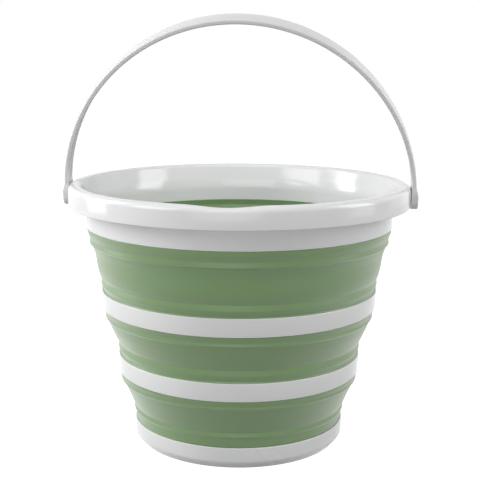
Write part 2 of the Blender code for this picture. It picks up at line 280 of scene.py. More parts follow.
def sum_of(tree, operation, first, second):
    """A Math node in a tree. Each input is a socket or a plain number."""
    node = node_at(tree, "ShaderNodeMath", operation=operation)
    for socket, value in zip(node.inputs, (first, second)):
        if isinstance(value, (int, float)):
            socket.default_value = value
        else:
            tree.links.new(value, socket)
    return node.outputs[0]


def turning_tree():
    """Turns an outline, drawn as points in the XZ plane, all round the Z axis."""
    tree = bpy.data.node_groups.new("turned", "GeometryNodeTree")
    add = tree.interface.new_socket
    add("Outline", in_out="INPUT", socket_type="NodeSocketGeometry")
    add("Facets", in_out="INPUT", socket_type="NodeSocketInt")
    add("Finish", in_out="INPUT", socket_type="NodeSocketMaterial")
    add("Turned", in_out="OUTPUT", socket_type="NodeSocketGeometry")
    link = tree.links.new
    given = tree.nodes.new("NodeGroupInput")
    count = node_at(tree, "GeometryNodeAttributeDomainSize", component="MESH")
    link(given.outputs["Outline"], count.inputs[0])
    grid = tree.nodes.new("GeometryNodeMeshGrid")
    columns = sum_of(tree, "ADD", given.outputs["Facets"], 1)
    link(columns, grid.inputs["Vertices X"])
    link(count.outputs["Point Count"], grid.inputs["Vertices Y"])
    index = tree.nodes.new("GeometryNodeInputIndex").outputs[0]
    along = sum_of(tree, "MODULO", index, count.outputs["Point Count"])
    column = sum_of(tree, "FLOOR", sum_of(tree, "DIVIDE", index, count.outputs["Point Count"]), 0)
    angle = sum_of(tree, "MULTIPLY", sum_of(tree, "DIVIDE", column, given.outputs["Facets"]), math.tau)
    drawn = node_at(tree, "GeometryNodeSampleIndex", data_type="FLOAT_VECTOR", domain="POINT")
    link(given.outputs["Outline"], drawn.inputs["Geometry"])
    link(tree.nodes.new("GeometryNodeInputPosition").outputs[0], drawn.inputs["Value"])
    link(along, drawn.inputs["Index"])
    spin = node_at(tree, "ShaderNodeVectorRotate", rotation_type="Z_AXIS")
    link(drawn.outputs[0], spin.inputs["Vector"])
    link(angle, spin.inputs["Angle"])
    place = tree.nodes.new("GeometryNodeSetPosition")
    link(grid.outputs["Mesh"], place.inputs["Geometry"])
    link(spin.outputs[0], place.inputs["Position"])
    merge = tree.nodes.new("GeometryNodeMergeByDistance")
    link(place.outputs[0], merge.inputs["Geometry"])
    merge.inputs["Distance"].default_value = MERGE_DISTANCE
    finish_tree(tree, merge.outputs[0], given.outputs["Finish"])
    return tree


def finish_tree(tree, geometry, finish):
    """The last nodes of each tree: realise what is repeated, shade it smooth and give it its finish."""
    real = tree.nodes.new("GeometryNodeRealizeInstances")
    smooth = tree.nodes.new("GeometryNodeSetShadeSmooth")
    paint = tree.nodes.new("GeometryNodeSetMaterial")
    made = tree.nodes.new("NodeGroupOutput")
    tree.links.new(geometry, real.inputs[0])
    tree.links.new(real.outputs[0], smooth.inputs[0])
    tree.links.new(smooth.outputs[0], paint.inputs["Geometry"])
    tree.links.new(finish, paint.inputs["Material"])
    tree.links.new(paint.outputs[0], made.inputs[0])


def from_tree(name, tree, points, edges, faces, **inputs):
    """A piece made by a geometry tree from drawn points, as a plain mesh with its faces outwards."""
    drawn = bpy.data.meshes.new(name)
    drawn.from_pydata(points, edges, faces)
    piece = bpy.data.objects.new(name, drawn)
    scene.collection.objects.link(piece)
    change = piece.modifiers.new(tree.name, "NODES")
    change.node_group = tree
    sockets = {item.name: item.identifier for item in tree.interface.items_tree}
    for label, value in inputs.items():
        change[sockets[label.replace("_", " ")]] = value
    ready = piece.evaluated_get(bpy.context.evaluated_depsgraph_get())
    mesh = bpy.data.meshes.new_from_object(ready)
    piece.modifiers.clear()
    piece.data = mesh
    outward(mesh)
    mesh.set_sharp_from_angle(angle=SHARP_ANGLE)
    return piece


def outward(mesh):
    work = bmesh.new()
    work.from_mesh(mesh)
    work.normal_update()
    bmesh.ops.recalc_face_normals(work, faces=work.faces)
    work.to_mesh(mesh)
    work.free()


TURNED = turning_tree()


def turned(name, outline, finish, closed=True):
    points = [(r, 0, z) for r, z in outline]
    if closed:
        points.append(points[0])
    edges = [(i, i + 1) for i in range(len(points) - 1)]
    return from_tree(name, TURNED, points, edges, [], Facets=FACETS, Finish=finish)


def ring_foot(radius, z):
    """Lower edge of a ring, from inside to outside, rebated for the soft wall below it."""
    return [
        (radius - RING_WALL, z + LAP_HEIGHT, 0),
        (radius - LAP_SKIN, z + LAP_HEIGHT, 0),
        (radius - LAP_SKIN, z, 0),
        (radius, z, RING_EDGE_ROUND),
    ]


def ring_head(radius, z):
    """Upper edge of a ring, from outside to inside, rebated for the soft wall above it."""
    return [(r, 2 * z - height, size) for r, height, size in reversed(ring_foot(radius, z))]


def grain_group():
    """Fine moulded grain: a height for bumps and a slow drift of tone."""
    group = bpy.data.node_groups.new("moulded_grain", "ShaderNodeTree")
    add = group.interface.new_socket
    add("Grain Size", in_out="INPUT", socket_type="NodeSocketFloat")
    add("Ripple Size", in_out="INPUT", socket_type="NodeSocketFloat")
    add("Ripple Share", in_out="INPUT", socket_type="NodeSocketFloat")
    add("Height", in_out="OUTPUT", socket_type="NodeSocketFloat")
    add("Tone", in_out="OUTPUT", socket_type="NodeSocketFloat")
    link = group.links.new
    given = group.nodes.new("NodeGroupInput")
    made = group.nodes.new("NodeGroupOutput")
    place = group.nodes.new("ShaderNodeTexCoord").outputs["Object"]
    fine = node_at(group, "ShaderNodeTexNoise", noise_dimensions="3D")
    fine.inputs["Detail"].default_value = 3
    link(place, fine.inputs["Vector"])
    link(sum_of(group, "DIVIDE", 1, given.outputs["Grain Size"]), fine.inputs["Scale"])
    broad = node_at(group, "ShaderNodeTexNoise", noise_dimensions="3D")
    broad.inputs["Detail"].default_value = 2
    link(place, broad.inputs["Vector"])
    link(sum_of(group, "DIVIDE", 1, given.outputs["Ripple Size"]), broad.inputs["Scale"])
    ripple = sum_of(group, "MULTIPLY", broad.outputs["Fac"], given.outputs["Ripple Share"])
    link(sum_of(group, "ADD", fine.outputs["Fac"], ripple), made.inputs["Height"])
    link(broad.outputs["Fac"], made.inputs["Tone"])
    return group


def handling_group():
    """Marks of use: soft smudges, and dust that settles on what faces up."""
    group = bpy.data.node_groups.new("handling", "ShaderNodeTree")
    add = group.interface.new_socket
    add("Smudge Size", in_out="INPUT", socket_type="NodeSocketFloat")
    add("Dust", in_out="INPUT", socket_type="NodeSocketFloat")
    add("Smudges", in_out="OUTPUT", socket_type="NodeSocketFloat")
    add("Dust Mask", in_out="OUTPUT", socket_type="NodeSocketFloat")
    link = group.links.new
    given = group.nodes.new("NodeGroupInput")
    made = group.nodes.new("NodeGroupOutput")
    place = group.nodes.new("ShaderNodeTexCoord").outputs["Object"]
    smear = node_at(group, "ShaderNodeTexNoise", noise_dimensions="3D")
    smear.inputs["Detail"].default_value = 5
    link(place, smear.inputs["Vector"])
    link(sum_of(group, "DIVIDE", 1, given.outputs["Smudge Size"]), smear.inputs["Scale"])
    spread = node_at(group, "ShaderNodeMapRange", interpolation_type="SMOOTHSTEP")
    spread.inputs["From Min"].default_value = 0.42
    spread.inputs["From Max"].default_value = 0.72
    link(smear.outputs["Fac"], spread.inputs["Value"])
    link(spread.outputs[0], made.inputs["Smudges"])
    facing = group.nodes.new("ShaderNodeSeparateXYZ")
    link(group.nodes.new("ShaderNodeNewGeometry").outputs["Normal"], facing.inputs[0])
    upward = node_at(group, "ShaderNodeMapRange", interpolation_type="SMOOTHSTEP")
    upward.inputs["From Min"].default_value = 0.55
    upward.inputs["From Max"].default_value = 1.0
    link(facing.outputs["Z"], upward.inputs["Value"])
    settled = sum_of(group, "MULTIPLY", upward.outputs[0], smear.outputs["Fac"])
    link(sum_of(group, "MULTIPLY", settled, given.outputs["Dust"]), made.inputs["Dust Mask"])
    return group


GRAIN = grain_group()
HANDLING = handling_group()


def moulded(name, colour, shade, roughness, gloss_swing, bump, grain_size, ripple_size, ripple_share):
    """A moulded plastic: its colour drifts a little to a second shade, and smudges change its gloss."""
    finish = bpy.data.materials.new(name)
    finish.use_nodes = True
    tree = finish.node_tree
    link = tree.links.new
    shader = tree.nodes["Principled BSDF"]
    shader.inputs["IOR"].default_value = POLYPROPYLENE_IOR
    grain = node_at(tree, "ShaderNodeGroup", node_tree=GRAIN)
    grain.inputs["Grain Size"].default_value = grain_size
    grain.inputs["Ripple Size"].default_value = ripple_size
    grain.inputs["Ripple Share"].default_value = ripple_share
    use = node_at(tree, "ShaderNodeGroup", node_tree=HANDLING)
    use.inputs["Smudge Size"].default_value = SMUDGE_SIZE
    use.inputs["Dust"].default_value = DUST_SHARE
    drift = node_at(tree, "ShaderNodeMix", data_type="RGBA")
    drift.inputs["A"].default_value = (*colour, 1)
    drift.inputs["B"].default_value = (*shade, 1)
    link(grain.outputs["Tone"], drift.inputs["Factor"])
    dusty = node_at(tree, "ShaderNodeMix", data_type="RGBA")
    dusty.inputs["B"].default_value = DUST_COLOUR
    link(use.outputs["Dust Mask"], dusty.inputs["Factor"])
    link(drift.outputs["Result"], dusty.inputs["A"])
    link(dusty.outputs["Result"], shader.inputs["Base Color"])
    gloss = tree.nodes.new("ShaderNodeMapRange")
    gloss.inputs["To Min"].default_value = roughness - gloss_swing
    gloss.inputs["To Max"].default_value = roughness + gloss_swing
    link(use.outputs["Smudges"], gloss.inputs["Value"])
    link(gloss.outputs[0], shader.inputs["Roughness"])
    raised = tree.nodes.new("ShaderNodeBump")
    raised.inputs["Strength"].default_value = 1.0
    raised.inputs["Distance"].default_value = bump
    link(grain.outputs["Height"], raised.inputs["Height"])
    link(raised.outputs[0], shader.inputs["Normal"])
    return finish


BASE_WHITE = moulded(
    "base_white", colour=(0.79, 0.79, 0.80), shade=(0.77, 0.77, 0.782), roughness=0.24, gloss_swing=0.04,
    bump=0.000008, grain_size=0.0006, ripple_size=0.020, ripple_share=0.4,
)
base_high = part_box("base_cup")[1]
base_radius = base_high.x
base_height = base_high.z


def base_outline():
    foot_radius = base_radius - BASE_ROUND
    foot_inner = foot_radius - FOOT_WIDTH
    inner = base_radius - RING_WALL
    floor_top = FOOT_HEIGHT + FLOOR_THICKNESS
    return rounded([
        (0, FOOT_HEIGHT + GATE_DEPTH, 0),
        (GATE_RADIUS, FOOT_HEIGHT + GATE_DEPTH, GATE_MIDDLE_ROUND),
        (GATE_RADIUS + GATE_DEPTH, FOOT_HEIGHT, GATE_EDGE_ROUND),
        (foot_inner - FOOT_SLOPE, FOOT_HEIGHT, FOOT_ROOT_ROUND),
        (foot_inner, 0, FOOT_INNER_ROUND),
        (foot_radius + FOOT_SET_OUT, 0, FOOT_OUTER_ROUND),
        (base_radius - BASE_LEAN, BASE_ROUND + BASE_CORNER_RISE, BASE_ROUND * BASE_CORNER_SHARE),
        *ring_head(base_radius, base_height),
        (inner, floor_top, FLOOR_FILLET),
        (0, floor_top, 0),
    ], closed=False)


base_cup = turned("base", base_outline(), BASE_WHITE, closed=False)
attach(base_cup, "base")
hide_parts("base_cup")


def repeating_tree():
    """Repeats a drawn shape at even steps round the Z axis."""
    tree = bpy.data.node_groups.new("repeated_round", "GeometryNodeTree")
    add = tree.interface.new_socket
    add("Shape", in_out="INPUT", socket_type="NodeSocketGeometry")
    add("Count", in_out="INPUT", socket_type="NodeSocketInt")
    add("First Turn", in_out="INPUT", socket_type="NodeSocketFloat")
    add("Finish", in_out="INPUT", socket_type="NodeSocketMaterial")
    add("Repeated", in_out="OUTPUT", socket_type="NodeSocketGeometry")
    link = tree.links.new
    given = tree.nodes.new("NodeGroupInput")
    points = tree.nodes.new("GeometryNodePoints")
    link(given.outputs["Count"], points.inputs["Count"])
    index = tree.nodes.new("GeometryNodeInputIndex").outputs[0]
    step = sum_of(tree, "DIVIDE", math.tau, given.outputs["Count"])
    angle = sum_of(tree, "ADD", sum_of(tree, "MULTIPLY", index, step), given.outputs["First Turn"])
    turn = tree.nodes.new("ShaderNodeCombineXYZ")
    link(angle, turn.inputs["Z"])
    rotation = tree.nodes.new("FunctionNodeEulerToRotation")
    link(turn.outputs[0], rotation.inputs[0])
    copies = tree.nodes.new("GeometryNodeInstanceOnPoints")
    link(points.outputs[0], copies.inputs["Points"])
    link(given.outputs["Shape"], copies.inputs["Instance"])
    link(rotation.outputs[0], copies.inputs["Rotation"])
    finish_tree(tree, copies.outputs[0], given.outputs["Finish"])
    return tree


REPEATED = repeating_tree()


def upright_web(outline, thickness):
    """Points and faces of a thin web that stands in the XZ plane."""
    count = len(outline)
    points = [(r, y, z) for y in (-thickness / 2, thickness / 2) for r, z in outline]
    faces = [tuple(range(count)), tuple(reversed(range(count, 2 * count)))]
    faces += [(i, i + count, (i + 1) % count + count, (i + 1) % count) for i in range(count)]
    return points, faces


base_rib_end = base_radius - BASE_ROUND - FOOT_WIDTH - BASE_RIB_SET_IN
base_rib_points, base_rib_faces = upright_web([
    (BASE_RIB_START, FOOT_HEIGHT + BASE_RIB_SINK),
    (BASE_RIB_START + BASE_RIB_HEIGHT, FOOT_HEIGHT - BASE_RIB_HEIGHT),
    (base_rib_end, FOOT_HEIGHT - BASE_RIB_HEIGHT),
    (base_rib_end, FOOT_HEIGHT + BASE_RIB_SINK),
], BASE_RIB_THICKNESS)
base_ribs = from_tree(
    "base_ribs", REPEATED, base_rib_points, [], base_rib_faces,
    Count=BASE_RIB_COUNT, First_Turn=math.pi / BASE_RIB_COUNT, Finish=BASE_WHITE,
)
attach(base_ribs, "base")


# Lower soft wall
# The lowest of three soft green walls of thermoplastic rubber, moulded onto the rings above
# and below. Its thin folding lines let it turn inside out, so that the bucket nests flat.
LOWER_WALL_SHARES = (
    (0.036, 0.041, 1.0), (0.110, 0.130, 2.0), (0.156, 0.116, 0.4), (0.184, 0.226, 1.0),
    (0.406, 0.555, 25), (0.628, 0.863, 15), (0.698, 0.966, 0.6), (0.780, 0.932, 0.6),
    (0.818, 1.021, 1.0), (0.966, 1.082, 0.6),
)
LOWER_BAND_TAPER = 0.0006
COLLAR_EDGE_ROUND = 0.0003
INNER_BEND_ROUND = 0.0008
MM_IN_A_METRE = 1000

SAGE_GREEN = moulded(
    "sage_green", colour=(0.165, 0.285, 0.108), shade=(0.155, 0.269, 0.103), roughness=0.32,
    gloss_swing=0.02, bump=0.000015, grain_size=0.0005, ripple_size=0.030, ripple_share=0.6,
)
rubber = SAGE_GREEN.node_tree.nodes["Principled BSDF"]
rubber.inputs["IOR"].default_value = 1.54
rubber.inputs["Sheen Weight"].default_value = 0.6
rubber.inputs["Sheen Roughness"].default_value = 0.5
rubber.inputs["Sheen Tint"].default_value = (0.95, 1.0, 0.92, 1.0)


def soft_wall(name, above, below, shares):
    """A soft wall between two rings. shares: down the height, in over the step, and round in mm."""
    head_radius, head_z = above
    foot_radius, foot_z = below
    height = head_z - foot_z
    step = head_radius - foot_radius
    tongue = LAP_SKIN + GAP
    outer = [
        (head_radius - step * inward, head_z - height * down, size / MM_IN_A_METRE)
        for down, inward, size in shares
    ]
    inner = [(r - SOFT_WALL, z, size + SOFT_WALL / 2) for r, z, size in reversed(outer[1:-1])]
    return turned(name, rounded([
        (head_radius - RING_WALL, head_z + LAP_HEIGHT - GAP, 0),
        (head_radius - tongue, head_z + LAP_HEIGHT - GAP, 0),
        (head_radius - tongue, head_z - GAP, 0),
        (head_radius - COLLAR_EDGE_ROUND, head_z - GAP, COLLAR_EDGE_ROUND),
        *outer,
        (foot_radius - tongue, foot_z + GAP, 0),
        (foot_radius - tongue, foot_z - LAP_HEIGHT + GAP, 0),
        (foot_radius - RING_WALL, foot_z - LAP_HEIGHT + GAP, 0),
        (foot_radius - RING_WALL, foot_z + 2 * RING_WALL / 3, INNER_BEND_ROUND),
        *inner,
        (head_radius - RING_WALL, head_z - RING_WALL, INNER_BEND_ROUND),
    ]), SAGE_GREEN)


def finish_wall(piece, node):
    """Sets the wall's placing into its mesh and hides the part that it stands in for."""
    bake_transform(piece)
    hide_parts(node)


lower_low, lower_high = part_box("lower_band")
lower_radius = lower_high.x
lower_wall = soft_wall(
    "lower_wall", (lower_radius - LOWER_BAND_TAPER, lower_low.z), (base_radius, base_height),
    LOWER_WALL_SHARES,
)
finish_wall(lower_wall, "lower_bellows")


# Lower band
# A stiff white ring that keeps the bucket round between two folds. It is moulded first, in
# polypropylene, and both of its edges are rebated so that the soft rubber grips them.
BAND_WHITE = moulded(
    "band_white", colour=(0.80, 0.80, 0.805), shade=(0.785, 0.785, 0.792), roughness=0.20,
    gloss_swing=0.04, bump=0.000006, grain_size=0.0006, ripple_size=0.025, ripple_share=0.5,
)


def band(name, node, taper):
    low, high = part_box(node)
    outline = ring_foot(high.x - taper, low.z) + ring_head(high.x, high.z + BAND_RISE)
    piece = turned(name, rounded(outline), BAND_WHITE)
    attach(piece, node)
    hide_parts(node)


band("lower_ring", "lower_band", LOWER_BAND_TAPER)


# Middle soft wall
# The same green rubber, one fold higher: a short collar under the upper band, a bead, the
# main panel that rolls as the bucket is pressed down, and an upright lip above the lower band.
MIDDLE_WALL_SHARES = (
    (0.036, 0.065, 1.0), (0.126, 0.174, 2.5), (0.188, 0.152, 0.4), (0.220, 0.261, 1.0),
    (0.406, 0.500, 25), (0.652, 0.870, 15), (0.738, 1.022, 0.8), (0.854, 0.993, 2.5),
    (0.966, 1.145, 0.5),
)
UPPER_BAND_TAPER = 0.0012
upper_low, upper_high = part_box("upper_band")
upper_radius = upper_high.x
middle_wall = soft_wall(
    "middle_wall", (upper_radius - UPPER_BAND_TAPER, upper_low.z), (lower_radius, lower_high.z + BAND_RISE),
    MIDDLE_WALL_SHARES,
)
finish_wall(middle_wall, "middle_bellows")


# Upper band
# The second stiff white ring, a little wider than the lower one, so that when the bucket is
# pressed flat it comes to rest around it.
band("upper_ring", "upper_band", UPPER_BAND_TAPER)


# Upper soft wall
# The tallest green wall, from the rim's skirt to the upper band. Its collar slants in and
# ends in one thin bead, and its panel swells a little between the folding lines.
UPPER_WALL_SHARES = (
    (0.076, 0.079, 3.0), (0.160, 0.230, 3.0), (0.241, 0.214, 0.4), (0.264, 0.349, 1.0),
    (0.404, 0.587, 20), (0.505, 0.667, 25), (0.631, 0.754, 15), (0.741, 0.881, 8),
    (0.805, 1.016, 0.8), (0.896, 0.984, 2.5), (0.985, 1.175, 0.5),
)
FLANGE_HEIGHT = 0.0195
FLANGE_OVERHANG = 0.0157
SKIRT_TAPER = 0.0002
rim_low, rim_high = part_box("rim_ring")
flange_radius = rim_high.x
skirt_top_radius = flange_radius - FLANGE_OVERHANG
skirt_radius = skirt_top_radius - SKIRT_TAPER
upper_wall = soft_wall(
    "upper_wall", (skirt_radius, rim_low.z), (upper_radius, upper_high.z + BAND_RISE), UPPER_WALL_SHARES
)
finish_wall(upper_wall, "upper_bellows")


# Rim
# One glossy white moulding: the skirt over the top soft wall, and above it a flange that is
# an upside-down channel with a rounded crown, a pouring dip and thin webs inside.
CROWN_OUTER_ROUND = 0.0065
CROWN_INNER_ROUND = 0.0045
FLANGE_WALL = 0.0024
SPOUT_SPAN = math.radians(30)
SPOUT_DEPTH = 0.0020
WEB_COUNT = 12
WEB_THICKNESS = 0.0014
WEB_SET_UP = 0.0040
INNER_WALL_ROUND = 0.030
SKIRT_FOOT_ROUND = 0.0009
SKIRT_TOP_ROUND = 0.0012
HOLLOW_ROUND = 0.003
FLANGE_EDGE_ROUND = 0.0009
FLANGE_INNER_EDGE_ROUND = 0.0006

RIM_WHITE = moulded(
    "rim_white", colour=(0.81, 0.81, 0.82), shade=(0.795, 0.795, 0.808), roughness=0.15, gloss_swing=0.03,
    bump=0.000005, grain_size=0.0007, ripple_size=0.030, ripple_share=0.6,
)
rim_top = rim_high.z
flange_foot = rim_top - FLANGE_HEIGHT
crown_radius = flange_radius - CROWN_OUTER_ROUND
mouth_radius = crown_radius - CROWN_INNER_ROUND


def rim_outline():
    return rounded([
        *ring_foot(skirt_radius, rim_low.z)[:-1],
        (skirt_radius, rim_low.z, SKIRT_FOOT_ROUND),
        (skirt_top_radius, flange_foot, SKIRT_TOP_ROUND),
        (mouth_radius + FLANGE_WALL, rim_top - CROWN_OUTER_ROUND, HOLLOW_ROUND),
        (crown_radius, rim_top - FLANGE_WALL, HOLLOW_ROUND),
        (flange_radius - FLANGE_WALL, rim_top - FLANGE_WALL, CROWN_OUTER_ROUND - FLANGE_WALL),
        (flange_radius - FLANGE_WALL, flange_foot, FLANGE_INNER_EDGE_ROUND),
        (flange_radius, flange_foot, FLANGE_EDGE_ROUND),
        (flange_radius, rim_top, CROWN_OUTER_ROUND),
        (mouth_radius, rim_top, CROWN_INNER_ROUND),
        (skirt_top_radius - RING_WALL, flange_foot, INNER_WALL_ROUND),
    ])


def dip_spout(mesh):
    """Lowers the crown across the front, most in the middle, to make the pouring dip."""
    root = rim_top - CROWN_OUTER_ROUND
    half = SPOUT_SPAN / 2
    for point in mesh.vertices:
        away = abs(math.atan2(point.co.y, point.co.x) + math.pi / 2)
        if away < half and point.co.z > root:
            lift = (point.co.z - root) / CROWN_OUTER_ROUND
            point.co.z -= SPOUT_DEPTH * lift * math.cos(away / half * math.pi / 2) ** 2


rim = turned("rim", rim_outline(), RIM_WHITE)
dip_spout(rim.data)
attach(rim, "rim")
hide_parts("rim_ring")

web_root = rim_top - CROWN_OUTER_ROUND
web_points, web_faces = upright_web([
    (mouth_radius + FLANGE_WALL / 2, web_root),
    (skirt_top_radius, flange_foot + WEB_SET_UP),
    (flange_radius - FLANGE_WALL / 2, flange_foot + WEB_SET_UP),
    (flange_radius - FLANGE_WALL / 2, web_root),
    (crown_radius, rim_top - FLANGE_WALL / 2),
], WEB_THICKNESS)
webs = from_tree(
    "rim_webs", REPEATED, web_points, [], web_faces,
    Count=WEB_COUNT, First_Turn=math.pi / WEB_COUNT, Finish=RIM_WHITE,
)
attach(webs, "rim")


# Bail handle
# One white moulding: a flat strap bent to half an oval, cored out inside between two rails,
# with a pad at each end that turns against the flange on a snap-in peg.
BAIL_LEAN = math.radians(16)
PIVOT_RISE = 0.0062
BAIL_REACH = 0.01235
TAB_CLEARANCE = 0.0006
TAB_THICKNESS = 0.0063
TAB_RADIUS = 0.0100
TAB_LENGTH = 0.0170
TAB_SHOULDER = 0.0050
TAB_SINK = 0.0020
TAB_EDGE_ROUND = 0.0020
TAB_CUTS = 12
TAB_TOP_SET_IN = 0.0003
TAB_EDGE_SEGMENTS = 5
TAB_FOOT_FACETS = 40
STRAP_SET_BACK = 0.0009
STRAP_THICKNESS = 0.0050
STRAP_END_WIDTH = 0.0165
STRAP_GRIP_WIDTH = 0.0220
STRAP_CROWN = 0.0008
STRAP_STEPS = 160
STRAP_CROWN_ROUND = 0.02
STRAP_EDGE_ROUND = 0.0014
RAIL_OUTER_ROUND = 0.0020
RAIL_INNER_ROUND = 0.0006
CHANNEL_DRAFT = 0.0004
CHANNEL_ROUND = 0.0005
CHANNEL_DEPTH = 0.0024
CHANNEL_WALL = 0.0026
CROSS_RIB_COUNT = 11
CROSS_RIB_THICKNESS = 0.0016
RIBBED_SHARE = 0.62
CROSS_RIB_SET_IN = 0.0005
CROSS_RIB_SINK = 0.0003
CROSS_RIB_WALL_SHARE = 1.5
PEG_RADIUS = 0.0040
PEG_BARB = 0.0012
PEG_HEAD_LENGTH = 0.0030
PEG_HEAD_GAP = 0.0004
PEG_ROOT = 0.001
PEG_BARB_ROUND = 0.0003
PEG_TIP_SHARE = 0.8
PEG_TIP_ROUND = 0.0006

HANDLE_WHITE = moulded(
    "handle_white", colour=(0.74, 0.74, 0.74), shade=(0.73, 0.73, 0.732), roughness=0.36, gloss_swing=0.02,
    bump=0.000001, grain_size=0.0009, ripple_size=0.025, ripple_share=2.0,
)
pivot = Vector((0, 0, flange_foot + PIVOT_RISE))
tab_inner = flange_radius + TAB_CLEARANCE
tab_outer = tab_inner + TAB_THICKNESS
bail_rise = flange_radius + BAIL_REACH
bail_across = tab_outer - STRAP_SET_BACK
grip_extra = (STRAP_GRIP_WIDTH - STRAP_END_WIDTH) / 2


def strap_tree():
    """Sweeps a drawn section along half an oval that stands on the pivot line, wider at the grip."""
    tree = bpy.data.node_groups.new("swept_strap", "GeometryNodeTree")
    add = tree.interface.new_socket
    add("Section", in_out="INPUT", socket_type="NodeSocketGeometry")
    add("Steps", in_out="INPUT", socket_type="NodeSocketInt")
    for label in ("Across", "Rise", "Grip Extra"):
        add(label, in_out="INPUT", socket_type="NodeSocketFloat")
    add("Finish", in_out="INPUT", socket_type="NodeSocketMaterial")
    add("Strap", in_out="OUTPUT", socket_type="NodeSocketGeometry")
    link = tree.links.new
    given = tree.nodes.new("NodeGroupInput")
    count = node_at(tree, "GeometryNodeAttributeDomainSize", component="MESH")
    link(given.outputs["Section"], count.inputs[0])
    size = count.outputs["Point Count"]
    grid = tree.nodes.new("GeometryNodeMeshGrid")
    link(sum_of(tree, "ADD", given.outputs["Steps"], 1), grid.inputs["Vertices X"])
    link(size, grid.inputs["Vertices Y"])
    index = tree.nodes.new("GeometryNodeInputIndex").outputs[0]
    along = sum_of(tree, "MODULO", index, size)
    row = sum_of(tree, "FLOOR", sum_of(tree, "DIVIDE", index, size), 0)
    share = sum_of(tree, "SUBTRACT", sum_of(tree, "DIVIDE", row, given.outputs["Steps"]), 0.5)
    angle = sum_of(tree, "MULTIPLY", share, math.pi)
    sine = sum_of(tree, "SINE", angle, 0)
    cosine = sum_of(tree, "COSINE", angle, 0)
    drawn = node_at(tree, "GeometryNodeSampleIndex", data_type="FLOAT_VECTOR", domain="POINT")
    link(given.outputs["Section"], drawn.inputs["Geometry"])
    link(tree.nodes.new("GeometryNodeInputPosition").outputs[0], drawn.inputs["Value"])
    link(along, drawn.inputs["Index"])
    section = tree.nodes.new("ShaderNodeSeparateXYZ")
    link(drawn.outputs[0], section.inputs[0])
    centre = tree.nodes.new("ShaderNodeCombineXYZ")
    link(sum_of(tree, "MULTIPLY", given.outputs["Across"], sine), centre.inputs["X"])
    link(sum_of(tree, "MULTIPLY", given.outputs["Rise"], cosine), centre.inputs["Z"])
    half = sum_of(tree, "SIGN", section.outputs["X"], 0)
    side = sum_of(tree, "MULTIPLY", half, given.outputs["Grip Extra"])
    link(
        sum_of(tree, "ADD", section.outputs["X"], sum_of(tree, "MULTIPLY", side, cosine)),
        centre.inputs["Y"],
    )
    outward_way = tree.nodes.new("ShaderNodeCombineXYZ")
    link(sum_of(tree, "MULTIPLY", given.outputs["Rise"], sine), outward_way.inputs["X"])
    link(sum_of(tree, "MULTIPLY", given.outputs["Across"], cosine), outward_way.inputs["Z"])
    unit = node_at(tree, "ShaderNodeVectorMath", operation="NORMALIZE")
    link(outward_way.outputs[0], unit.inputs[0])
    depth = node_at(tree, "ShaderNodeVectorMath", operation="SCALE")
    link(unit.outputs[0], depth.inputs[0])
    link(section.outputs["Z"], depth.inputs["Scale"])
    total = node_at(tree, "ShaderNodeVectorMath", operation="ADD")
    link(centre.outputs[0], total.inputs[0])
    link(depth.outputs[0], total.inputs[1])
    place = tree.nodes.new("GeometryNodeSetPosition")
    link(grid.outputs["Mesh"], place.inputs["Geometry"])
    link(total.outputs[0], place.inputs["Position"])
    merge = tree.nodes.new("GeometryNodeMergeByDistance")
    link(place.outputs[0], merge.inputs["Geometry"])
    merge.inputs["Distance"].default_value = MERGE_DISTANCE
    finish_tree(tree, merge.outputs[0], given.outputs["Finish"])
    return tree


def strap_section():
    """The strap's section as (across, height below its outer face), rounded, with its hollow inside."""
    half = STRAP_END_WIDTH / 2
    rail = half - CHANNEL_WALL
    right = [
        (half, -STRAP_CROWN, STRAP_EDGE_ROUND),
        (half, -STRAP_THICKNESS, RAIL_OUTER_ROUND),
        (rail, -STRAP_THICKNESS, RAIL_INNER_ROUND),
        (rail - CHANNEL_DRAFT, -STRAP_THICKNESS + CHANNEL_DEPTH, CHANNEL_ROUND),
    ]
    left = [(-across, height, size) for across, height, size in reversed(right)]
    return rounded([(0, 0, STRAP_CROWN_ROUND), *right, *left])


def closed_ends(mesh):
    work = bmesh.new()
    work.from_mesh(mesh)
    bmesh.ops.holes_fill(work, edges=[edge for edge in work.edges if edge.is_boundary])
    bmesh.ops.recalc_face_normals(work, faces=work.faces)
    work.to_mesh(mesh)
    work.free()


def stand_on_pivot(mesh):
    """Leans a handle piece, drawn upright about the origin, and sets it on the pivot line."""
    for point in mesh.vertices:
        x, y, z = point.co
        point.co = pivot + Vector((
            x,
            y * math.cos(BAIL_LEAN) - z * math.sin(BAIL_LEAN),
            y * math.sin(BAIL_LEAN) + z * math.cos(BAIL_LEAN),
        ))


def finish_bail(piece):
    closed_ends(piece.data)
    stand_on_pivot(piece.data)
    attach(piece, "bail")


section_points = [(across, 0, height) for across, height in strap_section()]
section_points.append(section_points[0])
strap = from_tree(
    "bail_strap", strap_tree(), section_points, [(i, i + 1) for i in range(len(section_points) - 1)], [],
    Steps=STRAP_STEPS, Across=bail_across, Rise=bail_rise,
    Grip_Extra=grip_extra, Finish=HANDLE_WHITE,
)
finish_bail(strap)
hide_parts("bail_handle")


